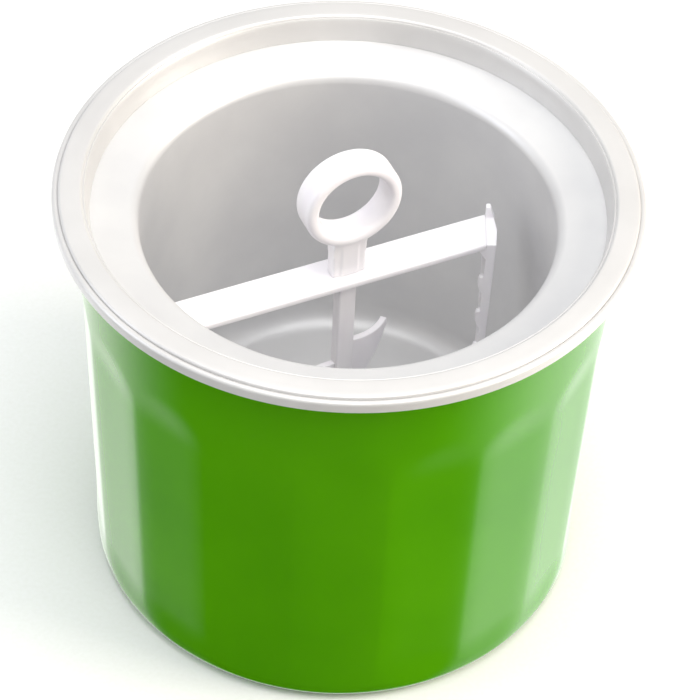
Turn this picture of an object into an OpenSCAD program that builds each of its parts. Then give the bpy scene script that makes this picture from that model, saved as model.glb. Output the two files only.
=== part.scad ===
// Hand ice cream maker: a double-walled freezer bowl and the dasher that turns in it.
// Origin on the table under the middle of the bowl, +Z up, -Y towards the user.
// Sizes are in millimetres and angles in degrees.

/* [Outer shell] */
// Height of the rim plane above the table
rim_z = 158; // [150:1:170]
// Height of the shell's bottom edge above the table
shell_base_z = 2; // [1:0.5:2.5]
// Outer radius of the shell at its bottom edge
shell_base_radius = 83.7; // [83:0.1:85]
// Outward lean of the shell's wall
shell_draft = 1.55; // [1:0.05:2]
// Wall thickness of the shell
shell_wall = 2.5; // [2:0.1:3]
// Radius of the shell's rounded bottom edge
shell_edge_round = 4; // [2:0.5:5]
// Number of flat flutes round the shell
flute_count = 18; // [16:1:20]
// Direction of the front flute, turned from -Y towards +X
flute_turn = 1.5; // [0:0.5:10]
// Depth of a flute's upper end below the rim plane
flute_top_drop = 34.7; // [30:0.1:45]
// Radius of the curve in which a flute runs out at either end
flute_runout_radius = 85; // [60:5:110]
// Depth of a flute in its middle
flute_depth = 1.05; // [0.8:0.05:1.25]
// Height above the shell's bottom edge at which the flutes have run out
flute_foot_rise = 5; // [4:0.5:12]

/* [Rim] */
// Outer radius of the rim
rim_radius = 95; // [94:0.5:98]
// Height of the rim's skirt
rim_skirt_height = 4.6; // [4:0.2:6]
// Wall thickness of the rim ring
rim_wall = 1.6; // [1.4:0.1:1.8]
// Height of the rim's flat bead above the rim plane
rim_bead_rise = 0.9; // [0.5:0.1:1.2]
// Inner radius of the rim's flat bead
rim_shoulder_radius = 85.4; // [85:0.1:86]

/* [Inner bowl] */
// Radius at the foot of the rim's inner slope, where the collar starts
collar_radius = 83; // [82.5:0.1:83.2]
// Depth of the collar's outer edge below the rim plane
collar_outer_drop = 8; // [7:0.1:9]
// Depth of the collar's inner edge below the rim plane
collar_inner_drop = 10.5; // [9.5:0.1:11]
// Radius of the bowl's wall at the top
well_top_radius = 67.5; // [67:0.1:68.5]
// Radius of the bowl's wall at the bottom
well_base_radius = 66; // [65.8:0.1:67]
// Depth of the bowl's floor below the rim plane
well_depth = 124; // [115:1:124]
// Radius between the bowl's wall and its floor
well_floor_round = 8; // [6:0.5:10]
// Radius between the bowl's wall and its collar
well_lip_round = 4; // [3:0.5:4.5]
// Sheet thickness of the bowl
bowl_sheet = 1.2; // [1:0.1:1.4]

/* [Coolant jacket] */
// Outer radius of the can that holds the coolant gel
can_radius = 77; // [76:0.5:78]
// Sheet thickness of the can
can_sheet = 1; // [0.8:0.1:1.2]
// Height of the underside of the can above the table
can_base_z = 20; // [19:0.5:21]
// Height left empty over the gel so that it can expand
gel_headspace = 7; // [5:1:12]
// Radius of the filling plug's thread
plug_radius = 5.5; // [4.5:0.1:6]

/* [Base] */
// Thickness of the base cover
cover_thickness = 3.2; // [3:0.1:3.4]
// Thickness of the ledge that carries the base cover
ledge_thickness = 5; // [4.5:0.1:5]
// Radius of the circle on which the screws and the feet lie
base_circle_radius = 70; // [69:0.5:71]
// Number of screws, and of feet between them
screw_count = 4; // [3:1:6]
// Shank radius of a screw
screw_radius = 1.5; // [1.2:0.1:1.7]
// Radius of a foot
foot_radius = 6; // [5:0.5:7]

/* [Dasher] */
// Direction of the crossbar, from +X towards +Y
dasher_angle = 26; // [0:1:90]
// Width of the flat crossbar
bar_width = 14; // [13:0.5:15]
// Thickness of the crossbar
bar_thickness = 2.8; // [2.6:0.1:3.2]
// Depth of the crossbar's upper face below the rim plane
bar_top_drop = 35.8; // [34:0.1:38]
// Width of the central shaft along the bar
shaft_width = 6.2; // [6:0.1:6.6]
// Thickness of the central shaft
shaft_thickness = 5; // [4.8:0.1:5.2]
// Distance from the axis to the front edge of the mixing arm's inner face
short_reach = 47.8; // [45:0.2:48.4]
// Thickness of the mixing arm's blade
blade_thickness = 3; // [2.6:0.1:3.2]
// Angle of the mixing arm's blade from a line square to the bar
blade_angle = 24; // [10:1:28]
// Gap between the long arm's scraping edge and the bowl's wall
scraper_gap = 0.8; // [0.6:0.1:1.5]
// Thickness of the long arm
arm_thickness = 3.2; // [3:0.1:4]
// Pitch of the fins on the mixing arm
fin_pitch = 16; // [14:0.5:18]
// Radius of the curve in which a mixing vane bends away from the bar
vane_bend_radius = 15.5; // [14:0.5:20]
// Height of one mixing vane above the other
vane_stagger = 9; // [0:1:12]

/* [Ring handle] */
// Outer radius of the ring
ring_radius = 16.9; // [16:0.1:18]
// Radius of the ring's finger hole
ring_hole_radius = 12.2; // [11:0.1:12.5]
// Thickness of the ring
ring_thickness = 10.6; // [9:0.1:11]
// Depth of the ring's centre below the rim plane
ring_drop = 4.1; // [2:0.1:6]
// Width of the ring's stem along the bar
stem_width = 11.8; // [11:0.1:12]
// Thickness of the ring's stem
stem_thickness = 5; // [4.8:0.1:5.4]

/* [Pivot] */
// Radius of the stud on the bowl's floor
stud_radius = 3; // [2.5:0.1:3.2]
// Outer radius of the bush that sits on the stud and lifts out with the dasher
bush_radius = 5; // [4.6:0.1:5.4]
// Radial clearance of the bush, inside and outside
bush_clearance = 0.05; // [0.03:0.01:0.08]

/* [Hidden] */
$fn = 96;

shell_green = [0.27, 0.55, 0];
satin_metal = [0.80, 0.80, 0.80];
pearl_white = [0.95, 0.95, 0.94];
dasher_white = [0.96, 0.95, 0.97];

gap = 0.3;
cut = 1;

shell_top_z = rim_z - 2;
shell_slope = tan(shell_draft);
flute_half_angle = 180 / flute_count;
ledge_z = shell_base_z + 4;
ledge_top_z = ledge_z + ledge_thickness;
ledge_bore_radius = base_circle_radius - 8;
cover_z = ledge_z - cover_thickness;
cover_radius = base_circle_radius + 8;

floor_z = rim_z - well_depth;
collar_slope = (collar_inner_drop - collar_outer_drop) / (collar_radius - well_top_radius - well_lip_round);
flange_radius = collar_radius + 2;
can_inner_radius = can_radius - can_sheet;
can_floor_z = can_base_z + can_sheet;
can_lip_radius = can_radius + 4;
can_lip_z = rim_z - collar_inner_drop - bowl_sheet - 2.4;

plug_head_radius = plug_radius + 3.5;
o_ring_height = 1;
plug_head_height = 4;

bar_top_z = rim_z - bar_top_drop;
bar_base_z = bar_top_z - bar_thickness;
bar_round = 0.9;
ring_z = rim_z - ring_drop;
ring_round = 2;
rib_thickness = stem_thickness + 0.8;
flare_thickness = 9;
tang_width = 4.4;
tang_thickness = 2.6;
tang_top_z = bar_top_z + 8;

arm_base_z = floor_z + scraper_gap;
blade_depth = bar_width / cos(blade_angle);
horn_top_z = bar_top_z + 4.4;
horn_depth = 2.2;
first_fin_z = bar_base_z - 12.2;
fin_depth = 1.6;
wiper_reach = 2.2;
wiper_root = 1;
wiper_thickness = 1.2;
long_head_width = 9;
long_arm_width = 5;
long_reach = well_r(bar_base_z) - scraper_gap - wiper_reach - long_arm_width;

stud_flange_radius = 7;
stud_flange_height = 1.2;
stud_top_z = floor_z + 9;
bush_base_z = floor_z + stud_flange_height + gap;
bush_height = 9;
shaft_foot_radius = 8;
foot_top_z = bush_base_z + bush_height + 4;
scraper_height = 7;
scraper_thickness = 2.2;
hub_radius = 10.5;
vane_thickness = 2.2;
vane_top_z = bar_base_z - 30.7;
vane_height = 24;
vane_reach = 17.4;

// Outer radius of the shell at a height
function shell_r(z) = shell_base_radius + (z - shell_base_z) * shell_slope;
// Radius of the bowl's inner wall at a height
function well_r(z) =
    let (low = floor_z + well_floor_round, high = rim_z - collar_inner_drop - well_lip_round)
    well_base_radius + (z - low) / (high - low) * (well_top_radius - well_base_radius);
// Height of the collar's upper face at a radius
function collar_z(r) = rim_z - collar_outer_drop - (collar_radius - r) * collar_slope;
// Points on an arc about [x, y], from one angle to another
function arc(x, y, r, from, to, steps = 8) =
    [for (i = [0:steps]) let (a = from + (to - from) * i / steps) [x + r * cos(a), y + r * sin(a)]];
// Points on a curve that bends from one point to another, pulled towards a third
function bend(from, pull, to, steps = 8) =
    [for (i = [0:steps]) let (t = i / steps) (1 - t) * (1 - t) * from + 2 * t * (1 - t) * pull + t * t * to];

// ---- shared shapes ----

module ring(inner, outer, base, top) {
    rotate_extrude() translate([inner, base]) square([outer - inner, top - base]);
}

module round_rect(w, h, r) {
    square([w - 2 * r, h], center = true);
    square([w, h - 2 * r], center = true);
    for (x = [-1, 1], y = [-1, 1]) translate([x * (w / 2 - r), y * (h / 2 - r)]) circle(r);
}

// Places copies on the base circle, the first one turned by an angle
module round_base(first = 0) {
    for (i = [0:screw_count - 1])
        rotate(first + i * 360 / screw_count) translate([base_circle_radius, 0, 0]) children();
}

// Turns a shape drawn along +X into the direction of the crossbar
module on_dasher() {
    rotate(dasher_angle) children();
}

// Extrudes an outline in the X-Z plane to a thickness across the bar
module plate(thickness) {
    translate([0, thickness / 2, 0]) rotate([90, 0, 0]) linear_extrude(thickness) children();
}

// ---- freezer bowl ----

// A cutter that takes one flat flute out of the shell's side and runs out at both ends
module flute_cutter() {
    runout = sqrt(2 * flute_runout_radius * flute_depth);
    start_z = rim_z - flute_top_drop - runout;
    flat_length = start_z - shell_base_z - flute_foot_rise - runout;
    reach = 6;
    sweep = acos(1 - reach / flute_runout_radius);
    width = 2 * shell_r(rim_z) * tan(flute_half_angle);
    translate([shell_r(start_z) - flute_depth, 0, start_z]) rotate([0, shell_draft, 0])
        rotate([90, 0, 0]) linear_extrude(width, center = true) polygon(concat(
            arc(flute_runout_radius, 0, flute_runout_radius, 180, 180 - sweep),
            arc(flute_runout_radius, -flat_length, flute_runout_radius, 180 + sweep, 180)));
}

module outer_shell() {
    r0 = shell_base_radius;
    color(shell_green) difference() {
        rotate_extrude() polygon(concat(
            arc(r0 - shell_edge_round, shell_base_z + shell_edge_round, shell_edge_round, -90, 0),
            [[shell_r(shell_top_z), shell_top_z], [shell_r(shell_top_z) - shell_wall, shell_top_z],
             [shell_r(ledge_top_z) - shell_wall, ledge_top_z], [ledge_bore_radius, ledge_top_z],
             [ledge_bore_radius, ledge_z], [cover_radius + gap, ledge_z],
             [cover_radius + gap, shell_base_z]]));
        for (i = [0:flute_count - 1]) rotate(flute_turn - 90 + i * 360 / flute_count) flute_cutter();
        round_base(180 / screw_count)
            translate([0, 0, ledge_z - cut]) cylinder(r = screw_radius, h = ledge_thickness);
    }
}

// The rim: an inner slope, a flat bead, a crease and a skirt over the top of the shell
module rim_ring() {
    bead_z = rim_z + rim_bead_rise;
    crease = rim_radius - 1.3;
    skirt_z = rim_z + 0.8 - rim_skirt_height;
    grip = shell_r(shell_top_z) + gap;
    slope_top = [rim_shoulder_radius, bead_z];
    slope_foot = [collar_radius, rim_z - collar_outer_drop];
    under_z = bead_z - rim_wall;
    shell_inner = shell_r(shell_top_z) - shell_wall;
    color(pearl_white) rotate_extrude() polygon(concat(
        bend(slope_foot, [collar_radius + 0.6, bead_z], slope_top),
        [[crease - 0.8, bead_z], [crease, rim_z + 0.3]],
        arc(rim_radius - 1, rim_z - 0.4, 1, 90, 0, 4),
        [[rim_radius, skirt_z], [rim_radius - rim_wall, skirt_z], [rim_radius - rim_wall, under_z],
         [grip + 1.4, under_z], [grip + 1.4, skirt_z - 1], [grip, skirt_z - 1], [grip, shell_top_z + gap],
         [shell_inner - gap, shell_top_z + gap], [slope_foot[0] + 1.8, slope_foot[1] + 1],
         [slope_foot[0] + 0.8, slope_foot[1] + 1], [slope_foot[0] + 0.8, slope_foot[1]]]));
}

module rim_gasket() {
    base = rim_z - collar_outer_drop;
    color("dimgray") ring(collar_radius + 0.8, collar_radius + 1.8, base, base + 1);
}

module inner_bowl() {
    lip_z = rim_z - collar_inner_drop;
    low = floor_z + well_floor_round;
    high = lip_z - well_lip_round;
    inside = concat([[0, floor_z]],
        arc(well_base_radius - well_floor_round, low, well_floor_round, -90, 0),
        arc(well_top_radius + well_lip_round, high, well_lip_round, 180, 90),
        [[collar_radius, collar_z(collar_radius)], [flange_radius, collar_z(collar_radius)]]);
    outside = concat([[flange_radius, collar_z(collar_radius) - bowl_sheet],
        [collar_radius, collar_z(collar_radius) - bowl_sheet]],
        arc(well_top_radius + well_lip_round, high, well_lip_round - bowl_sheet, 90, 180),
        arc(well_base_radius - well_floor_round, low, well_floor_round + bowl_sheet, 0, -90),
        [[0, floor_z - bowl_sheet]]);
    color(satin_metal) rotate_extrude() polygon(concat(inside, outside));
}

// Wedge ring between the can's lip and the sloping underside of the bowl's collar
module can_gasket() {
    inner = can_radius + 0.5;
    outer = can_lip_radius - 0.5;
    color("dimgray") rotate_extrude() polygon([
        [inner, can_lip_z], [outer, can_lip_z],
        [outer, collar_z(outer) - bowl_sheet], [inner, collar_z(inner) - bowl_sheet]]);
}

module coolant_can() {
    color("silver") difference() {
        union() {
            ring(can_inner_radius, can_radius, can_base_z, can_lip_z);
            ring(can_inner_radius, can_lip_radius, can_lip_z - can_sheet, can_lip_z);
            translate([0, 0, can_base_z]) cylinder(r = can_radius, h = can_sheet);
        }
        translate([0, 0, can_base_z - cut])
            cylinder(r = plug_radius + bush_clearance, h = can_sheet + 2 * cut);
    }
}

module coolant_gel() {
    low = floor_z + well_floor_round;
    top = can_lip_z - gel_headspace;
    skin = bowl_sheet + gap;
    outer = can_inner_radius - gap;
    color("lightskyblue") difference() {
        rotate_extrude() polygon(concat(
            [[0, can_floor_z], [outer, can_floor_z], [outer, top], [well_r(top) + skin, top]],
            arc(well_base_radius - well_floor_round, low, well_floor_round + skin, 0, -90),
            [[0, floor_z - skin]]));
        translate([0, 0, can_floor_z - cut])
            cylinder(r = plug_radius + gap, h = plug_head_height + cut + gap);
    }
}

module fill_plug() {
    head_z = can_base_z - o_ring_height - plug_head_height;
    color("white") difference() {
        union() {
            translate([0, 0, head_z]) cylinder(r = plug_head_radius, h = plug_head_height);
            translate([0, 0, head_z]) cylinder(r = plug_radius, h = can_floor_z + plug_head_height - head_z);
        }
        translate([0, 0, head_z + 1]) cube([plug_head_radius * 1.4, 2, 2 + cut], center = true);
    }
}

module plug_o_ring() {
    color("black") ring(plug_radius + bush_clearance, plug_head_radius - 0.5,
        can_base_z - o_ring_height, can_base_z);
}

module insulation_sleeve() {
    base = ledge_top_z;
    top = can_lip_z - can_sheet;
    inset = shell_wall + gap;
    color("ivory") rotate_extrude() polygon([
        [can_radius + gap, base], [shell_r(base) - inset, base],
        [shell_r(top) - inset, top], [can_radius + gap, top]]);
}

module insulation_disc() {
    color("ivory") ring(plug_head_radius + 2, can_radius, ledge_top_z, can_base_z);
}

module base_cover() {
    head_radius = 2 * screw_radius + gap;
    color(shell_green) difference() {
        translate([0, 0, cover_z]) cylinder(r = cover_radius, h = cover_thickness);
        round_base(180 / screw_count) translate([0, 0, cover_z - cut]) {
            cylinder(r = screw_radius + gap, h = cover_thickness + 2 * cut);
            cylinder(r = head_radius, h = 1.6 + cut);
        }
        round_base() translate([0, 0, cover_z - cut]) cylinder(r = foot_radius, h = 0.8 + cut);
    }
}

module base_screws() {
    color("silver") round_base(180 / screw_count) difference() {
        union() {
            translate([0, 0, cover_z + 0.2]) cylinder(r = 2 * screw_radius, h = 1.4);
            translate([0, 0, cover_z + 1]) cylinder(r = screw_radius, h = cover_thickness + 2);
        }
        translate([0, 0, cover_z + 0.2]) for (a = [0, 90])
            rotate(a) cube([2.4 * screw_radius, 0.6, 1.2], center = true);
    }
}

module rubber_feet() {
    color("dimgray") round_base() {
        translate([0, 0, 0.8]) cylinder(r = foot_radius, h = cover_z);
        cylinder(r1 = foot_radius - 0.8, r2 = foot_radius, h = 0.8);
    }
}

module pivot_stud() {
    color("white") {
        translate([0, 0, floor_z]) cylinder(r = stud_flange_radius, h = stud_flange_height);
        translate([0, 0, floor_z]) cylinder(r = stud_radius, h = stud_top_z - 1 - floor_z);
        translate([0, 0, stud_top_z - 1]) cylinder(r1 = stud_radius, r2 = stud_radius - 1, h = 1);
    }
}

// ---- dasher ----

module pivot_bush() {
    color("gainsboro") difference() {
        translate([0, 0, bush_base_z]) cylinder(r = bush_radius, h = bush_height);
        translate([0, 0, bush_base_z - cut]) cylinder(r = stud_radius + bush_clearance, h = bush_height);
    }
}

// Section of the tang that runs from the shaft through the bar into the ring's stem
module tang_outline() {
    square([tang_width, tang_thickness], center = true);
}

// Flat shaft with a round foot that turns on the bush
module centre_shaft() {
    foot_height = foot_top_z - bush_base_z;
    color(dasher_white) on_dasher() difference() {
        union() {
            translate([0, 0, foot_top_z - 1]) linear_extrude(bar_base_z - foot_top_z + 1)
                round_rect(shaft_width, shaft_thickness, 0.8);
            translate([0, 0, bar_base_z - 1]) linear_extrude(tang_top_z - bar_base_z + 1) tang_outline();
            translate([0, 0, bush_base_z]) cylinder(r = shaft_foot_radius, h = foot_height);
        }
        translate([0, 0, bush_base_z - cut])
            cylinder(r = bush_radius + bush_clearance, h = bush_height + cut + gap);
        vane_plates();
    }
}

// Flat bar, cut at its short end along the mixing arm's blade
module cross_bar() {
    half = bar_width / 2;
    lean = bar_width * tan(blade_angle);
    color(dasher_white) on_dasher() difference() {
        intersection() {
            translate([0, 0, (bar_top_z + bar_base_z) / 2]) rotate([90, 0, 90])
                linear_extrude(2 * rim_radius, center = true) round_rect(bar_width, bar_thickness, bar_round);
            translate([0, 0, bar_base_z - cut]) linear_extrude(bar_thickness + 2 * cut) polygon([
                [-long_reach, -half], [short_reach, -half], [short_reach + lean, half], [-long_reach, half]]);
        }
        translate([0, 0, bar_base_z - cut]) linear_extrude(bar_thickness + 2 * cut) tang_outline();
    }
}

// Ring for one finger, on a ribbed stem that flares into it and grips the shaft's tang
module ring_handle() {
    flare_z = ring_z - ring_radius + 1;
    half = stem_thickness / 2;
    wide = flare_thickness / 2;
    stem_top_z = ring_z - ring_hole_radius - 1.2;
    color(dasher_white) on_dasher() difference() {
        union() {
            translate([0, 0, ring_z]) rotate([90, 0, 0]) rotate_extrude()
                translate([(ring_radius + ring_hole_radius) / 2, 0])
                    round_rect(ring_radius - ring_hole_radius, ring_thickness, ring_round);
            rotate([90, 0, 90]) linear_extrude(stem_width, center = true) polygon(concat(
                [[-half, bar_top_z], [half, bar_top_z]],
                bend([half, flare_z - 7], [half, flare_z - 1], [wide, flare_z + 1]),
                [[wide, stem_top_z], [-wide, stem_top_z]],
                bend([-wide, flare_z + 1], [-half, flare_z - 1], [-half, flare_z - 7])));
            translate([0, 0, bar_top_z]) linear_extrude(stem_top_z - bar_top_z)
                square([shaft_width, rib_thickness], center = true);
        }
        translate([0, 0, bar_top_z - cut]) linear_extrude(tang_top_z - bar_top_z + cut) tang_outline();
    }
}

// Places a shape at the front edge of the mixing arm: X runs back along the blade, Y towards the shaft
module on_blade() {
    translate([short_reach, -bar_width / 2, 0]) rotate(90 - blade_angle)
        translate([0, -blade_thickness / 2, 0]) children();
}

// The blade's own plate, from the bar's upper face down, with a horn over its back corner
module blade_plate() {
    back = blade_depth;
    on_blade() plate(blade_thickness) polygon([
        [0, arm_base_z], [0, bar_top_z], [back - horn_depth - 1.6, bar_top_z],
        [back - horn_depth, horn_top_z], [back - 1.2, horn_top_z], [back, bar_top_z],
        [back, bar_base_z - 12], [0.6 * back, bar_base_z - 34], [0.6 * back, arm_base_z]]);
}

// Short arm: an angled blade with fins down the front edge of its inner face
module mixing_arm() {
    root = blade_thickness / 2;
    color(dasher_white) on_dasher() {
        blade_plate();
        on_blade() {
            rotate([90, 0, 90]) linear_extrude(0.5 * blade_depth)
                polygon([[root, bar_base_z], [root + 2.4, bar_base_z], [root, bar_base_z - 5]]);
            for (i = [0:3]) translate([0, root, first_fin_z - i * fin_pitch]) rotate([90, 0, 90])
                linear_extrude(2) polygon([
                    [0, 0], [1.2, -0.3], [fin_depth, -1.6], [fin_depth, -4], [0.9, -6.5], [0, -8.4]]);
        }
    }
}

// Outer edge of the long arm, from the top down and round the corner, kept a distance off the bowl
function long_edge(inset, top, end) = concat(
    [[well_r(top) - inset, top]],
    arc(well_base_radius - well_floor_round, floor_z + well_floor_round, well_floor_round - inset, 0, -90),
    [[end, floor_z + inset]]);
function reversed(list) = [for (i = [len(list) - 1:-1:0]) list[i]];

// Long arm: reaches the bowl's wall and carries the wiper in a groove
module scraper_arm() {
    inset = scraper_gap + wiper_reach;
    inner = long_reach;
    tip = well_r(bar_top_z) - inset;
    end = well_base_radius - well_floor_round - 2;
    color(dasher_white) on_dasher() mirror([1, 0, 0]) difference() {
        union() {
            plate(long_head_width) polygon(concat([[inner, bar_base_z], [inner, bar_top_z]],
                arc(tip - 2, bar_top_z - 2, 2, 90, 0), [[well_r(bar_base_z) - inset, bar_base_z]]));
            plate(arm_thickness) polygon(concat(
                [[inner - 2.5, bar_base_z]], long_edge(inset, bar_base_z, end),
                [[end, floor_z + inset + 4], [inner, floor_z + well_floor_round + 4],
                 [inner, bar_base_z - 6]]));
        }
        plate(wiper_thickness) polygon(concat(long_edge(inset - cut, bar_top_z - 8, end),
            reversed(long_edge(inset + wiper_root, bar_top_z - 8, end))));
    }
}

// Soft lip that sweeps the bowl's wall and the corner of its floor
module wall_wiper() {
    top = bar_top_z - 8;
    end = well_base_radius - well_floor_round - 2;
    color("white") on_dasher() mirror([1, 0, 0]) plate(wiper_thickness) polygon(concat(
        long_edge(scraper_gap, top, end),
        reversed(long_edge(scraper_gap + wiper_reach + wiper_root, top, end))));
}

// Two wings along the floor, on a hub pressed round the shaft's foot
module floor_scraper() {
    short_end = short_reach + bar_width / 2 * tan(blade_angle) + 1;
    long_end = well_base_radius - well_floor_round - 2;
    color(dasher_white) on_dasher() difference() {
        union() {
            translate([0, 0, arm_base_z]) cylinder(r = hub_radius, h = scraper_height);
            plate(scraper_thickness) polygon([[-long_end, arm_base_z], [short_end, arm_base_z],
                [short_end, arm_base_z + 4], [14, arm_base_z + scraper_height],
                [-14, arm_base_z + scraper_height], [-long_end, arm_base_z + 4]]);
        }
        translate([0, 0, arm_base_z - cut])
            cylinder(r = shaft_foot_radius + bush_clearance, h = scraper_height + 2 * cut);
        blade_plate();
    }
}

// One vane in plan: straight out of the shaft's side, then bent away from the bar
module vane_plan() {
    start = shaft_width / 2 - 1;
    bend_x = 5.5;
    inner = vane_bend_radius;
    outer = vane_bend_radius + vane_thickness;
    turn = 47;
    polygon(concat([[start, vane_thickness / 2]],
        arc(bend_x, vane_thickness / 2 + inner, inner, -90, -90 + turn),
        arc(bend_x, vane_thickness / 2 + inner, outer, -90 + turn, -90), [[start, -vane_thickness / 2]]));
}

// Two curved vanes set in grooves in the shaft's sides, each narrowing downwards
module vane_plates() {
    for (side = [0, 1]) rotate(180 * side) translate([0, 0, vane_top_z - side * vane_stagger - vane_height])
        intersection() {
            linear_extrude(vane_height) vane_plan();
            plate(4 * vane_bend_radius) polygon([[0, 0], [5.5, 0], [9.5, vane_height - 15.6],
                [vane_reach + 2.5, vane_height], [0, vane_height]]);
        }
}

module mixing_vanes() {
    color(dasher_white) on_dasher() vane_plates();
}

outer_shell();
rim_ring();
rim_gasket();
inner_bowl();
can_gasket();
coolant_can();
coolant_gel();
fill_plug();
plug_o_ring();
insulation_sleeve();
insulation_disc();
base_cover();
base_screws();
rubber_feet();
pivot_stud();
pivot_bush();
centre_shaft();
cross_bar();
ring_handle();
mixing_arm();
scraper_arm();
wall_wiper();
floor_scraper();
mixing_vanes();
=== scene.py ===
import math

import bpy
from mathutils import Matrix, Vector


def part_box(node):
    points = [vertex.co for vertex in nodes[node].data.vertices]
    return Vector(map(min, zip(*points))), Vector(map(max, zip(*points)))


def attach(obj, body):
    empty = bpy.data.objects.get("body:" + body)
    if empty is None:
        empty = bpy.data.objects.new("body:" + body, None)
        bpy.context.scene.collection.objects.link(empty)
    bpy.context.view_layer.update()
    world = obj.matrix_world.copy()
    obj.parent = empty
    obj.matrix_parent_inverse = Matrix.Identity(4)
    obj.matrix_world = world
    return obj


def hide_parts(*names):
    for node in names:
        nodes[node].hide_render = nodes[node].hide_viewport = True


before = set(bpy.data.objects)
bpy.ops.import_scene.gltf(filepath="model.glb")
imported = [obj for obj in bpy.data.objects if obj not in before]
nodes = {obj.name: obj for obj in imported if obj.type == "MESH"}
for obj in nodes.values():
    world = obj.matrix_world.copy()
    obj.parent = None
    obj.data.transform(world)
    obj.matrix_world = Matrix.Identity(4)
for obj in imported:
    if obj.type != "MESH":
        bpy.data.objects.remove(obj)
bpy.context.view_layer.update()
mm = 0.001
print("frame loaded:", len(nodes), "nodes")


# sRGB hex to the linear colour that the shaders take
def hexColour(code):
    values = [int(code[i:i + 2], 16) / 255 for i in (1, 3, 5)]
    return [v / 12.92 if v <= 0.04045 else ((v + 0.055) / 1.055) ** 2.4 for v in values] + [1.0]


# adds a node, sets its properties, and fills or links its inputs
def addNode(tree, kind, inputs=None, **settings):
    node = tree.nodes.new(kind)
    for key, value in settings.items():
        setattr(node, key, value)
    for key, value in (inputs or {}).items():
        if isinstance(value, bpy.types.NodeSocket):
            tree.links.new(value, node.inputs[key])
        else:
            node.inputs[key].default_value = value
    return node


# a material with one shader whose inputs are given by name
def newMaterial(name, shaderInputs):
    material = bpy.data.materials.new(name)
    material.use_nodes = True
    tree = material.node_tree
    tree.nodes.clear()
    shader = addNode(tree, "ShaderNodeBsdfPrincipled", shaderInputs)
    addNode(tree, "ShaderNodeOutputMaterial", {"Surface": shader.outputs["BSDF"]})
    return material, tree, shader


# object coordinates in metres, so that a pattern keeps its real size
def place(tree, stretch=(1, 1, 1)):
    coords = addNode(tree, "ShaderNodeTexCoord")
    return addNode(tree, "ShaderNodeMapping", {"Vector": coords.outputs["Object"], "Scale": stretch}).outputs["Vector"]


# noise whose grain has the given width in millimetres
def grain(tree, width, detail=3.0, rough=0.5, stretch=(1, 1, 1)):
    return addNode(tree, "ShaderNodeTexNoise", {
        "Vector": place(tree, stretch), "Scale": 1 / (width * mm), "Detail": detail, "Roughness": rough})


# raises the surface by a pattern, to a depth in millimetres
def bump(tree, shader, height, depth):
    node = addNode(tree, "ShaderNodeBump", {"Height": height, "Distance": depth * mm})
    tree.links.new(node.outputs["Normal"], shader.inputs["Normal"])


# mixes two colours by a value that is stretched between low and high
def shade(tree, value, low, high, dark, light):
    share = addNode(tree, "ShaderNodeMapRange", {"Value": value, "From Min": low, "From Max": high})
    mix = addNode(tree, "ShaderNodeMix", data_type="RGBA")
    tree.links.new(share.outputs["Result"], mix.inputs["Factor"])
    fromSocket, toSocket = [socket for socket in mix.inputs if socket.type == "RGBA"]
    fromSocket.default_value, toSocket.default_value = hexColour(dark), hexColour(light)
    return next(socket for socket in mix.outputs if socket.type == "RGBA")


# points on an arc about (x, y), between two angles in degrees
def arcPoints(x, y, radius, start, end, steps=8):
    angles = [math.radians(start + (end - start) * i / steps) for i in range(steps + 1)]
    return [(x + radius * math.cos(a), y + radius * math.sin(a)) for a in angles]


# points on a curve from start to end, pulled towards a third point
def bendPoints(start, pull, end, steps=10):
    points = []
    for i in range(steps + 1):
        t = i / steps
        points.append(tuple((1 - t) ** 2 * a + 2 * t * (1 - t) * b + t * t * c
                            for a, b, c in zip(start, pull, end)))
    return points


# makes an object from vertices in millimetres
def meshPiece(name, vertices, faces, sharpAngle=35):
    mesh = bpy.data.meshes.new(name)
    mesh.from_pydata([tuple(c * mm for c in v) for v in vertices], [], faces)
    mesh.validate()
    mesh.shade_smooth()
    mesh.set_sharp_from_angle(angle=math.radians(sharpAngle))
    piece = bpy.data.objects.new(name, mesh)
    bpy.context.scene.collection.objects.link(piece)
    return piece


# a closed ring of points (radius, height) turned about Z; radius may depend on the angle
def turnedPiece(name, profile, segments=288, radiusAt=None, sharpAngle=35):
    vertices, rings = [], []
    for radius, height in profile:
        if radius < 1e-6:
            rings.append([len(vertices)] * segments)
            vertices.append((0, 0, height))
            continue
        rings.append(list(range(len(vertices), len(vertices) + segments)))
        for i in range(segments):
            angle = 2 * math.pi * i / segments
            r = radiusAt(angle, radius, height) if radiusAt else radius
            vertices.append((r * math.cos(angle), r * math.sin(angle), height))
    faces = []
    for a, b in zip(rings, rings[1:] + rings[:1]):
        if a[0] == a[1] and b[0] == b[1]:
            continue
        for i in range(segments):
            j = (i + 1) % segments
            corners = [a[i], b[i], b[j], a[j]]
            faces.append(list(dict.fromkeys(corners)))
    return meshPiece(name, vertices, faces, sharpAngle)


# a rounded rectangle as a list of points
def roundedOutline(width, height, radius, steps=6):
    x, y = width / 2 - radius, height / 2 - radius
    return (arcPoints(x, y, radius, 0, 90, steps) + arcPoints(-x, y, radius, 90, 180, steps)
            + arcPoints(-x, -y, radius, 180, 270, steps) + arcPoints(x, -y, radius, 270, 360, steps))


# vertices and faces of an outline (x, z) made thick across y, between two offsets
def platePart(outline, near, far):
    count = len(outline)
    vertices = [(x, near, z) for x, z in outline] + [(x, far, z) for x, z in outline]
    faces = [list(range(count)), list(range(2 * count - 1, count - 1, -1))]
    faces += [[(i + 1) % count, i, count + i, count + (i + 1) % count] for i in range(count)]
    return vertices, faces


# vertices and faces of an outline (x, y) made tall between two heights
def columnPart(outline, low, high):
    vertices, faces = platePart(outline, low, high)
    return [(x, z, y) for x, y, z in vertices], [f[::-1] for f in faces]


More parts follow.
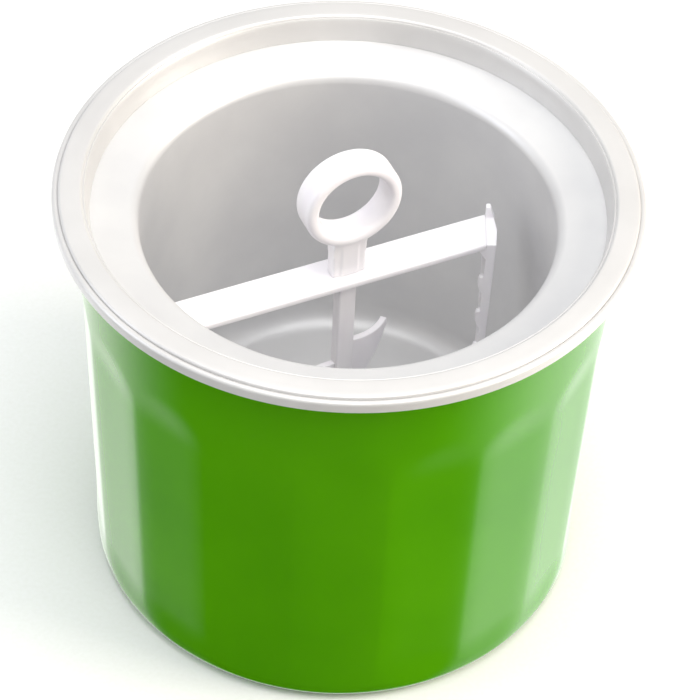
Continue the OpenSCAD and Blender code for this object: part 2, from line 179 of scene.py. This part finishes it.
# vertices and faces of an outline (y, z) made wide along x, between two offsets
def beamPart(outline, near, far):
    vertices, faces = platePart(outline, near, far)
    return [(y, x, z) for x, y, z in vertices], [f[::-1] for f in faces]


# joins closed parts, remeshes them as one moulding, and softens its edges
def mouldedPiece(name, parts, voxel, rounds, turn):
    vertices, faces = [], []
    for partVertices, partFaces in parts:
        faces += [[i + len(vertices) for i in face] for face in partFaces]
        vertices += partVertices
    piece = meshPiece(name, vertices, faces)
    piece.data.transform(turn)
    remesh = piece.modifiers.new("remesh", "REMESH")
    remesh.mode = "VOXEL"
    remesh.voxel_size = voxel * mm
    remesh.use_smooth_shade = True
    smooth = piece.modifiers.new("smooth", "SMOOTH")
    smooth.factor = 0.5
    smooth.iterations = rounds
    result = bpy.data.meshes.new_from_object(piece.evaluated_get(bpy.context.evaluated_depsgraph_get()))
    piece.modifiers.clear()
    piece.data = result
    result.name = name
    result.shade_smooth()
    return piece


# gives a piece its material and its body, and hides the CAD node it stands for
def finishPiece(piece, material, body, slot, *replaced):
    piece.data.materials.clear()
    piece.data.materials.append(material)
    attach(piece, body)
    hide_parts(*replaced)


# gives a CAD node that stays its material
def dressNode(name, material):
    mesh = nodes[name].data
    mesh.materials.clear()
    mesh.materials.append(material)


rimLow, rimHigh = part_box("rim_ring")
shellLow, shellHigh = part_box("outer_shell")
bowlLow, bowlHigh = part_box("inner_bowl")
barLow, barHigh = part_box("cross_bar")

beadRise, bowlSheet = 0.9, 1.2
bowl = {
    "rimRadius": 95.0,
    "rimPlane": rimHigh[2] / mm - beadRise,
    "shellBase": shellLow[2] / mm,
    "shellTop": shellHigh[2] / mm,
    "floor": bowlLow[2] / mm + bowlSheet,
}
dasherTurn = Matrix.Rotation(math.radians(26), 4, "Z")


# gloss lacquer over a drawn shell: a clear wet film with a faint orange peel, so broad lights stay soft
def glossGreenLacquer():
    look = {"deep": "#438900", "bright": "#4b9200", "peelWidth": 1.6, "peelDepth": 0.004, "cloudWidth": 60}
    material, tree, shader = newMaterial("glossGreenLacquer", {
        "Roughness": 0.5, "IOR": 1.5, "Specular IOR Level": 0.0, "Coat Weight": 0.9, "Coat Roughness": 0.13,
        "Coat IOR": 1.5})
    cloud = grain(tree, look["cloudWidth"], 2.0)
    colour = shade(tree, cloud.outputs["Fac"], 0.3, 0.7, look["deep"], look["bright"])
    tree.links.new(colour, shader.inputs["Base Color"])
    peel = grain(tree, look["peelWidth"], 2.0)
    bump(tree, shader, peel.outputs["Fac"], look["peelDepth"])
    return material


# aluminium, blasted and anodised: a milky film over a fine even grain, so it looks pearly and mirrors little
def satinAluminium(name, dark, light, metallic, rough, grainDepth):
    material, tree, shader = newMaterial(name, {"Metallic": metallic, "Roughness": rough})
    cloud = grain(tree, 25, 4.0)
    colour = shade(tree, cloud.outputs["Fac"], 0.3, 0.7, dark, light)
    tree.links.new(colour, shader.inputs["Base Color"])
    speck = grain(tree, 0.9, 4.0, 0.7)
    spread = addNode(tree, "ShaderNodeMapRange", {
        "Value": speck.outputs["Fac"], "To Min": rough - 0.05, "To Max": rough + 0.06})
    tree.links.new(spread.outputs["Result"], shader.inputs["Roughness"])
    bump(tree, shader, speck.outputs["Fac"], grainDepth)
    return material


# polypropylene, injection moulded: milky white, light goes a little way in, faint flow waves on the faces
def mouldedPolypropylene(name, dark, light, rough=0.32):
    material, tree, shader = newMaterial(name, {
        "Roughness": rough, "IOR": 1.49, "Subsurface Weight": 0.25, "Subsurface Scale": 0.002,
        "Subsurface Radius": (1.0, 0.95, 1.0)})
    flow = grain(tree, 9, 2.0, 0.5, (1, 1, 0.4))
    colour = shade(tree, flow.outputs["Fac"], 0.3, 0.7, dark, light)
    tree.links.new(colour, shader.inputs["Base Color"])
    skin = grain(tree, 0.7, 3.0)
    bump(tree, shader, skin.outputs["Fac"], 0.006)
    return material


# plain materials for the pieces inside and below, each with its own grain
def plainSurface(name, dark, light, rough, grainWidth, grainDepth, metallic=0.0):
    material, tree, shader = newMaterial(name, {"Metallic": metallic, "Roughness": rough})
    cells = grain(tree, grainWidth, 4.0, 0.6)
    colour = shade(tree, cells.outputs["Fac"], 0.3, 0.7, dark, light)
    tree.links.new(colour, shader.inputs["Base Color"])
    bump(tree, shader, cells.outputs["Fac"], grainDepth)
    return material


lacquer = glossGreenLacquer()
rimMetal = satinAluminium("satinAnodisedRim", "#d3d2d1", "#dbdad9", 0.3, 0.4, 0.01)
bowlMetal = satinAluminium("satinAnodisedBowl", "#dadadb", "#e2e2e2", 0.35, 0.42, 0.015)
dasherPlastic = mouldedPolypropylene("mouldedPolypropylene", "#f1eef3", "#f7f5f8")
print("materials made")


# wall of the green shell: a drafted cone cut by flat flutes that run out at both ends
def flutedShell():
    shell = {"baseRadius": 83.7, "draft": 1.55, "wall": 2.5, "edgeRound": 4.0, "flutes": 18, "topDrop": 34.7,
             "runout": 85.0, "depth": 1.05, "footRise": 5.0, "turn": 1.5, "ridgeSoftness": 0.8, "ledge": 4.0,
             "ledgeThickness": 5.0, "ledgeBore": 62.0, "coverRadius": 78.3}
    slope = math.tan(math.radians(shell["draft"]))
    halfAngle = math.pi / shell["flutes"]
    base, top = bowl["shellBase"], bowl["shellTop"]
    runoutLength = math.sqrt(2 * shell["runout"] * shell["depth"])
    runoutStart = bowl["rimPlane"] - shell["topDrop"] - runoutLength
    runoutEnd = base + shell["footRise"] + runoutLength

    def coneRadius(height):
        return shell["baseRadius"] + (height - base) * slope

    # the lower of the round wall and the flat flute, blended over the ridge's softness
    def flutedRadius(angle, radius, height):
        inset = coneRadius(height) - radius
        local = (angle + math.pi / 2 + halfAngle - math.radians(shell["turn"])) % (2 * halfAngle) - halfAngle
        beyond = max(0.0, height - runoutStart, runoutEnd - height)
        flat = coneRadius(height) - shell["depth"] + beyond * beyond / (2 * shell["runout"])
        flute = flat / math.cos(local)
        soft = shell["ridgeSoftness"]
        blend = min(1.0, max(0.0, 0.5 + 0.5 * (flute - coneRadius(height)) / soft))
        mixed = flute + (coneRadius(height) - flute) * blend - soft * blend * (1 - blend)
        return mixed - inset

    edge = shell["edgeRound"]
    rows = 96
    outer = arcPoints(shell["baseRadius"] - edge, base + edge, edge, -90, 0, 8)
    first = outer[-1][1]
    outer += [(coneRadius(first + (top - first) * i / rows), first + (top - first) * i / rows)
              for i in range(1, rows + 1)]
    ledgeTop = base + shell["ledge"] + shell["ledgeThickness"]
    inner = [(coneRadius(top) - shell["wall"], top), (coneRadius(ledgeTop) - shell["wall"], ledgeTop),
             (shell["ledgeBore"], ledgeTop), (shell["ledgeBore"], base + shell["ledge"]),
             (shell["coverRadius"], base + shell["ledge"]), (shell["coverRadius"], base)]
    wallRadii = {round(r, 6) for r, z in outer if z > first - 0.01}

    def radiusAt(angle, radius, height):
        return flutedRadius(angle, radius, height) if round(radius, 6) in wallRadii else radius

    return turnedPiece("flutedShell", outer + inner, 18 * 24, radiusAt, 40)


# rim: a slope up from the collar, a flat bead, a soft crease and a rounded skirt that overhangs the shell
def rimProfile():
    rim = {"footRadius": 83.0, "footDrop": 8.0, "shoulderRadius": 86.3, "shoulderRound": 1.2, "beadEnd": 92.0,
           "beadRound": 0.95, "creaseRadius": 93.0, "creaseWidth": 0.3, "creaseDrop": 0.4, "skirtRound": 1.2,
           "skirtDrop": 3.8, "skirtEdge": 0.4, "wall": 1.8, "shellRadius": 87.87, "shellGap": 0.3, "gripWall": 1.4,
           "gripDrop": 4.8}
    plane = bowl["rimPlane"]
    bead = plane + beadRise
    outer, foot, wall = bowl["rimRadius"], rim["footRadius"], rim["wall"]
    grip = rim["shellRadius"] + rim["shellGap"]
    points = [(foot, plane - rim["footDrop"])]
    points += bendPoints((foot, plane - rim["footDrop"] + 0.1), (foot + 0.7, plane - 1.0), (foot + 1.7, plane + 0.1))
    points += arcPoints(rim["shoulderRadius"], bead - rim["shoulderRound"], rim["shoulderRound"], 165, 90)
    points += [(88.5, bead - 0.02), (90.6, bead - 0.04)]  # the bead falls away a little towards the crease
    points += arcPoints(rim["beadEnd"], bead - 1.0, rim["beadRound"], 85, 15, 6)
    points += [(rim["creaseRadius"] + step, plane - rim["creaseDrop"]) for step in (0, rim["creaseWidth"])]
    points += arcPoints(outer - rim["skirtRound"], plane - 1.1, rim["skirtRound"], 125, 0, 10)
    points += [(outer, plane - rim["skirtDrop"] + 0.5)]
    points += arcPoints(outer - rim["skirtEdge"], plane - rim["skirtDrop"] + rim["skirtEdge"], rim["skirtEdge"],
                        0, -90, 4)
    points += [(outer - 1.4, plane - rim["skirtDrop"]), (outer - 1.6, plane - 0.9),
               (grip + rim["gripWall"], plane - 0.9), (grip + rim["gripWall"], plane - rim["gripDrop"]),
               (grip, plane - rim["gripDrop"]), (grip, plane - 1.7),
               (85.6, plane - 1.7), (foot + wall, plane - 7.0), (foot + 0.8, plane - 7.0),
               (foot + 0.8, plane - rim["footDrop"])]
    return points


# bowl: flat floor, round corner, drafted wall, round lip and sloping collar
def bowlProfile():
    liner = {"floorRound": 8.0, "cornerRadius": 58.0, "wallRadius": 66.0, "draft": 1.5, "lipRadius": 71.5,
             "lipRound": 4.0, "lipDrop": 14.5, "lipTurn": 101.5, "collar": 83.0, "collarDrop": 8.05,
             "collarSlope": 0.2, "flange": 85.0}
    plane, floor = bowl["rimPlane"], bowl["floor"]
    low, high = floor + liner["floorRound"], plane - liner["lipDrop"]
    rows = 12
    points = [(0, floor), (52, floor), (55, floor)]
    points += arcPoints(liner["cornerRadius"], low, liner["floorRound"], -90, 0, 14)
    points += [(liner["wallRadius"] + liner["draft"] * i / rows, low + (high - low) * i / rows)
               for i in range(1, rows)]
    points += arcPoints(liner["lipRadius"], high, liner["lipRound"], 180, liner["lipTurn"], 12)
    points += [(radius, plane - liner["collarDrop"] - (liner["collar"] - radius) * liner["collarSlope"])
               for radius in (75.0, 79.0, liner["collar"])]
    points += [(liner["flange"], plane - liner["collarDrop"])]
    under = plane - liner["collarDrop"] - bowlSheet + 0.05
    points += [(liner["flange"], under), (liner["collar"], under)]
    points += arcPoints(liner["lipRadius"], high, liner["lipRound"] - bowlSheet, liner["lipTurn"], 180)
    points += arcPoints(liner["cornerRadius"], low, liner["floorRound"] + bowlSheet, 0, -90, 10)
    points += [(0, floor - bowlSheet)]
    return points


finishPiece(flutedShell(), lacquer, "bowl", "green_shell", "outer_shell")
finishPiece(turnedPiece("rimRing", rimProfile(), 288), rimMetal, "bowl", "satin_rim", "rim_ring")
finishPiece(turnedPiece("bowlLiner", bowlProfile(), 288), bowlMetal, "bowl", "satin_bowl", "inner_bowl")
print("bowl pieces made")


dasher = {"top": barHigh[2] / mm, "base": barLow[2] / mm, "barWidth": 14.0, "long": 59.15, "short": 47.8,
          "bladeAngle": 24.0, "armBase": bowl["floor"] + 0.8, "shaftWidth": 6.2}


# flat bar with rounded edges, its short end cut along the angled blade
def crossBar():
    lean = math.tan(math.radians(dasher["bladeAngle"]))
    middle = (dasher["top"] + dasher["base"]) / 2
    outline = roundedOutline(dasher["barWidth"], dasher["top"] - dasher["base"], 0.9)
    count = len(outline)
    vertices = [(-dasher["long"], y, z + middle) for y, z in outline]
    vertices += [(dasher["short"] + (y + dasher["barWidth"] / 2) * lean, y, z + middle) for y, z in outline]
    faces = [list(range(count))[::-1], list(range(count, 2 * count))]
    faces += [[i, (i + 1) % count, count + (i + 1) % count, count + i] for i in range(count)]
    piece = meshPiece("crossBar", vertices, faces, 50)
    piece.data.transform(dasherTurn)
    return piece


# finger ring on a stem with a centre rib on each face, flared where it meets the ring
def ringHandle():
    ring = {"centre": bowl["rimPlane"] - 4.1, "outer": 16.9, "hole": 12.2, "thickness": 10.6, "round": 2.1,
            "stemWidth": 11.8, "stemThickness": 5.0, "stemRound": 0.9, "ribThickness": 5.9, "flare": 4.5}
    section = roundedOutline(ring["outer"] - ring["hole"], ring["thickness"], ring["round"])
    middle = (ring["outer"] + ring["hole"]) / 2
    steps = 96
    vertices, faces = [], []
    for i in range(steps):
        angle = 2 * math.pi * i / steps
        for radial, across in section:
            radius = middle + radial
            vertices.append((radius * math.cos(angle), across, ring["centre"] + radius * math.sin(angle)))
    count = len(section)
    for i in range(steps):
        for k in range(count):
            j, m = (i + 1) % steps, (k + 1) % count
            faces.append([i * count + k, i * count + m, j * count + m, j * count + k])
    crown = ring["centre"] - ring["hole"] - 1.2
    foot = ring["centre"] - ring["outer"]
    half, wide = ring["stemThickness"] / 2, ring["flare"]
    stem = columnPart(roundedOutline(ring["stemWidth"], ring["stemThickness"], ring["stemRound"]), dasher["top"], crown)
    rib = columnPart(roundedOutline(dasher["shaftWidth"], ring["ribThickness"], 0.4), dasher["top"], crown)
    flare = [(-half, foot - 6), (half, foot - 6)]
    flare += bendPoints((half, foot - 6), (half, foot), (wide, foot + 2))[1:] + [(wide, crown), (-wide, crown)]
    flare += bendPoints((-wide, foot + 2), (-half, foot), (-half, foot - 6))[:-1]
    wing = ring["stemWidth"] / 2
    return mouldedPiece("ringHandle", [(vertices, faces), stem, rib, beamPart(flare, -wing, wing)], 0.28, 6, dasherTurn)


# angled blade under the bar's short end, with a horn on its back corner and fins on its front edge
def mixingArm():
    arm = {"topThickness": 3.4, "middleThickness": 2.7, "footThickness": 2.2, "middleZ": 85.0, "hornRise": 4.6,
           "hornDepth": 2.3, "fin": 1.6, "pitch": 16.0, "finDrop": 12.2, "fins": 4}
    top, base, foot = dasher["top"], dasher["base"], dasher["armBase"]
    back = dasher["barWidth"] / math.cos(math.radians(dasher["bladeAngle"]))

    def thickness(z):
        if z > arm["middleZ"]:
            share = (z - arm["middleZ"]) / (top - arm["middleZ"])
            return arm["middleThickness"] + share * (arm["topThickness"] - arm["middleThickness"])
        share = (z - foot) / (arm["middleZ"] - foot)
        return arm["footThickness"] + share * (arm["middleThickness"] - arm["footThickness"])

    rows = [(foot, 0.6 * back), (60.0, 0.6 * back), (arm["middleZ"], 0.6 * back), (96.0, 0.74 * back),
            (base - 12, 0.97 * back), (base, back), (top, back)]
    vertices, faces = [], []
    for z, depth in rows:
        swell = 0.5 * (z - foot) / (top - foot)
        vertices += [(0, 0, z), (depth, 0, z), (depth, -thickness(z) * 0.8, z),
                     (0.5 * depth, -thickness(z) - swell, z), (0, -thickness(z), z)]
    for r in range(len(rows) - 1):
        for k in range(5):
            m = (k + 1) % 5
            faces.append([5 * r + k, 5 * r + 5 + k, 5 * r + 5 + m, 5 * r + m])
    faces += [[0, 1, 2, 3, 4], [5 * len(rows) - 1 - k for k in range(5)]]
    horn = [(-0.1, top - 2), (-0.1, top + arm["hornRise"]), (-1.6, top + arm["hornRise"]), (-3.2, top), (-3.0, top - 2)]
    gusset = [(-0.5, base + 0.5), (2.4, base + 0.5), (2.4, base), (-0.5, base - 5)]
    parts = [(vertices, faces), beamPart(horn, back - arm["hornDepth"], back), beamPart(gusset, 0, 0.5 * back)]
    for i in range(arm["fins"]):
        z = base - arm["finDrop"] - i * arm["pitch"]
        fin = [(-0.8, 0), (0, 0), (1.2, -0.3), (arm["fin"], -1.6), (arm["fin"], -4), (0.9, -6.5), (0, -8.4),
               (-0.8, -8.4)]
        parts.append(beamPart([(y, z + dz) for y, dz in fin], 0, 2.0))
    seat = (Matrix.Translation((dasher["short"] * mm, -dasher["barWidth"] / 2 * mm, 0))
            @ Matrix.Rotation(math.radians(90 - dasher["bladeAngle"]), 4, "Z"))
    return mouldedPiece("mixingArm", parts, 0.25, 3, dasherTurn @ seat)


# two curved blades on the shaft, each level on top and narrowing downwards, one higher than the other
def mixingVanes():
    vane = {"top": dasher["base"] - 30.7, "height": 24.0, "stagger": 9.0, "radius": 15.5, "thickness": 2.2,
            "bendX": 5.5, "turn": 47, "slopeX": 9.5, "slopeRise": 8.4, "reach": 19.9}
    half = vane["thickness"] / 2
    centreY = half + vane["radius"]

    def lowerEdge(x):
        if x < vane["bendX"]:
            return -vane["height"]
        if x < vane["slopeX"]:
            return -vane["height"] + vane["slopeRise"] * (x - vane["bendX"]) / (vane["slopeX"] - vane["bendX"])
        rest = vane["height"] - vane["slopeRise"]
        return -rest + rest * (x - vane["slopeX"]) / (vane["reach"] - vane["slopeX"])

    inner = [(2.1, half)] + arcPoints(vane["bendX"], centreY, vane["radius"], -90, -90 + vane["turn"], 12)
    outer = [(2.1, -half)] + arcPoints(vane["bendX"], centreY, vane["radius"] + vane["thickness"],
                                       -90, -90 + vane["turn"], 12)
    parts = []
    for side, top in ((1, vane["top"]), (-1, vane["top"] - vane["stagger"])):
        vertices, faces = [], []
        for (xi, yi), (xo, yo) in zip(inner, outer):
            vertices += [(side * xi, side * yi, top), (side * xo, side * yo, top),
                         (side * xo, side * yo, top + lowerEdge(xo)), (side * xi, side * yi, top + lowerEdge(xi))]
        for i in range(len(inner) - 1):
            for k in range(4):
                m = (k + 1) % 4
                faces.append([4 * i + k, 4 * i + m, 4 * i + 4 + m, 4 * i + 4 + k])
        last = 4 * (len(inner) - 1)
        faces += [[3, 2, 1, 0], [last, last + 1, last + 2, last + 3]]
        parts.append((vertices, faces))
    return mouldedPiece("mixingVanes", parts, 0.25, 3, dasherTurn)


finishPiece(crossBar(), dasherPlastic, "dasher", "dasher_plastic", "cross_bar")
finishPiece(ringHandle(), dasherPlastic, "dasher", "dasher_plastic", "ring_handle")
finishPiece(mixingArm(), dasherPlastic, "dasher", "dasher_plastic", "mixing_arm")
finishPiece(mixingVanes(), dasherPlastic, "dasher", "dasher_plastic", "mixing_vanes")
for name in ("centre_shaft", "scraper_arm", "floor_scraper"):
    dressNode(name, dasherPlastic)
print("dasher pieces made")

insideSurfaces = {
    "rim_gasket": ("siliconeRubber", "#2b2b2b", "#3a3a3a", 0.75, 0.5, 0.01, 0.0),
    "can_gasket": ("siliconeRubber", "#2b2b2b", "#3a3a3a", 0.75, 0.5, 0.01, 0.0),
    "plug_o_ring": ("nitrileRubber", "#1c1c1c", "#2a2a2a", 0.6, 0.4, 0.008, 0.0),
    "rubber_feet": ("thermoplasticRubber", "#2f2f30", "#3d3d3e", 0.8, 0.6, 0.02, 0.0),
    "coolant_can": ("rolledAluminium", "#b4b6b8", "#c6c8ca", 0.35, 2.0, 0.005, 1.0),
    "coolant_gel": ("coolantGel", "#9cc6e2", "#b4d6ec", 0.2, 12.0, 0.02, 0.0),
    "insulation_sleeve": ("polyethyleneFoam", "#ece6d6", "#f6f2e6", 0.95, 1.2, 0.15, 0.0),
    "insulation_disc": ("polyethyleneFoam", "#ece6d6", "#f6f2e6", 0.95, 1.2, 0.15, 0.0),
    "fill_plug": ("mouldedNylon", "#e8e6e0", "#f2f0ea", 0.5, 0.8, 0.01, 0.0),
    "pivot_stud": ("mouldedNylon", "#e8e6e0", "#f2f0ea", 0.5, 0.8, 0.01, 0.0),
    "pivot_bush": ("mouldedAcetal", "#e2e2e4", "#ececee", 0.35, 0.8, 0.006, 0.0),
    "wall_wiper": ("softElastomer", "#ecebee", "#f4f3f6", 0.6, 0.5, 0.01, 0.0),
    "base_screws": ("zincPlatedSteel", "#b8bcc0", "#cfd2d4", 0.3, 0.4, 0.004, 1.0),
    "base_cover": ("textureMouldedGreen", "#38740a", "#437f10", 0.55, 0.4, 0.03, 0.0),
}
made = {}
for name, look in insideSurfaces.items():
    if look[0] not in made:
        made[look[0]] = plainSurface(*look)
    dressNode(name, made[look[0]])
print("inside and base pieces dressed")


# a soft box of the given size, turned to a point of the part
def softBox(name, spot, target, size, watts, colour="#ffffff"):
    data = bpy.data.lights.new(name, "AREA")
    data.shape = "RECTANGLE"
    data.size, data.size_y = size
    data.energy = watts
    data.color = hexColour(colour)[:3]
    light = bpy.data.objects.new(name, data)
    light.location = spot
    light.rotation_euler = (Vector(target) - Vector(spot)).to_track_quat("-Z", "Y").to_euler()
    bpy.context.scene.collection.objects.link(light)


# long lens, looking down into the bowl from the front
def viewCamera():
    view = {"back": 7.523, "up": 6.902, "pitch": 45.58, "yaw": -0.218, "roll": 2.98, "lens": 156.1}
    rim = Vector((0, 0, bowl["rimPlane"] * mm))
    data = bpy.data.cameras.new("camera")
    data.sensor_width = 36
    data.lens = view["lens"]
    data.clip_end = 20
    camera = bpy.data.objects.new("camera", data)
    turn = (Matrix.Rotation(math.radians(view["yaw"]), 4, "Z")
            @ Matrix.Rotation(math.radians(90 - view["pitch"]), 4, "X")
            @ Matrix.Rotation(math.radians(view["roll"]), 4, "Z"))
    away = Vector((0, -view["back"], view["up"])) * bowl["rimRadius"] * mm
    camera.matrix_world = Matrix.Translation(rim + away) @ turn
    bpy.context.scene.collection.objects.link(camera)
    bpy.context.scene.camera = camera


# pale paper that the part stands on; the lacquer doesn't mirror it, so its green stays deep
def paperFloor():
    paper = {"half": 3000, "fibre": 1.5, "dark": "#f6f6f5", "light": "#fafafa"}
    half = paper["half"]
    floor = meshPiece("floor", [(-half, -half, 0), (half, -half, 0), (half, half, 0), (-half, half, 0)],
                      [[0, 1, 2, 3]])
    material, tree, shader = newMaterial("paperFloor", {"Roughness": 0.9})
    fibre = grain(tree, paper["fibre"], 4.0)
    colour = shade(tree, fibre.outputs["Fac"], 0.3, 0.7, paper["dark"], paper["light"])
    tree.links.new(colour, shader.inputs["Base Color"])
    floor.data.materials.append(material)
    floor.visible_glossy = False


# white room: bright overhead, bright low down at the sides and the back, dark low down in front
def whiteRoom():
    room = {"overhead": 0.64, "sides": 1.6, "sideShift": 0.2, "wall": "#fbfbfb"}
    world = bpy.data.worlds.new("whiteRoom")
    world.use_nodes = True
    tree = world.node_tree
    tree.nodes.clear()

    # light that grows smoothly between two values of a direction
    def glow(value, low, high, dark, bright):
        return addNode(tree, "ShaderNodeMapRange", {
            "Value": value, "From Min": low, "From Max": high, "To Min": dark, "To Max": bright},
            interpolation_type="SMOOTHSTEP").outputs["Result"]

    def sums(operation, *values):
        node = addNode(tree, "ShaderNodeMath", operation=operation)
        for socket, value in zip(node.inputs, values):
            if isinstance(value, bpy.types.NodeSocket):
                tree.links.new(value, socket)
            else:
                socket.default_value = value
        return node.outputs["Value"]

    coords = addNode(tree, "ShaderNodeTexCoord")
    direction = addNode(tree, "ShaderNodeSeparateXYZ", {"Vector": coords.outputs["Generated"]})
    backward = sums("MULTIPLY_ADD", direction.outputs["X"], room["sideShift"], direction.outputs["Y"])
    aside = glow(backward, -0.35, 0.3, 0.0, room["sides"])
    below = glow(direction.outputs["Z"], -0.3, 0.1, 1.0, 0.3)
    above = glow(direction.outputs["Z"], 0.0, 0.6, 0.0, room["overhead"])
    level = sums("MAXIMUM", sums("MULTIPLY", aside, below), above)
    seen = addNode(tree, "ShaderNodeBackground", {"Color": hexColour(room["wall"]), "Strength": 1.0})
    lit = addNode(tree, "ShaderNodeBackground", {"Color": hexColour("#ffffff"), "Strength": level})
    ray = addNode(tree, "ShaderNodeLightPath")
    mix = addNode(tree, "ShaderNodeMixShader", {"Fac": ray.outputs["Is Camera Ray"]})
    tree.links.new(lit.outputs["Background"], mix.inputs[1])
    tree.links.new(seen.outputs["Background"], mix.inputs[2])
    addNode(tree, "ShaderNodeOutputWorld", {"Surface": mix.outputs["Shader"]})
    bpy.context.scene.world = world


viewCamera()
paperFloor()
whiteRoom()
softBox("leftBox", (-0.9, -0.2, 0.5), (0, 0, 0.08), (0.5, 0.9), 3.5, "#f4f7ff")
softBox("rightBox", (0.9, -0.2, 0.5), (0, 0, 0.08), (0.5, 0.9), 10.5, "#fff4e4")
softBox("topBox", (0, 0.15, 1.2), (0, 0, 0.1), (0.9, 0.7), 4.2)
softBox("frontBox", (0.1, -0.5, 1.15), (0, 0, 0.08), (0.6, 0.5), 3.6)
bpy.context.scene.view_settings.view_transform = "Standard"
print("studio set")
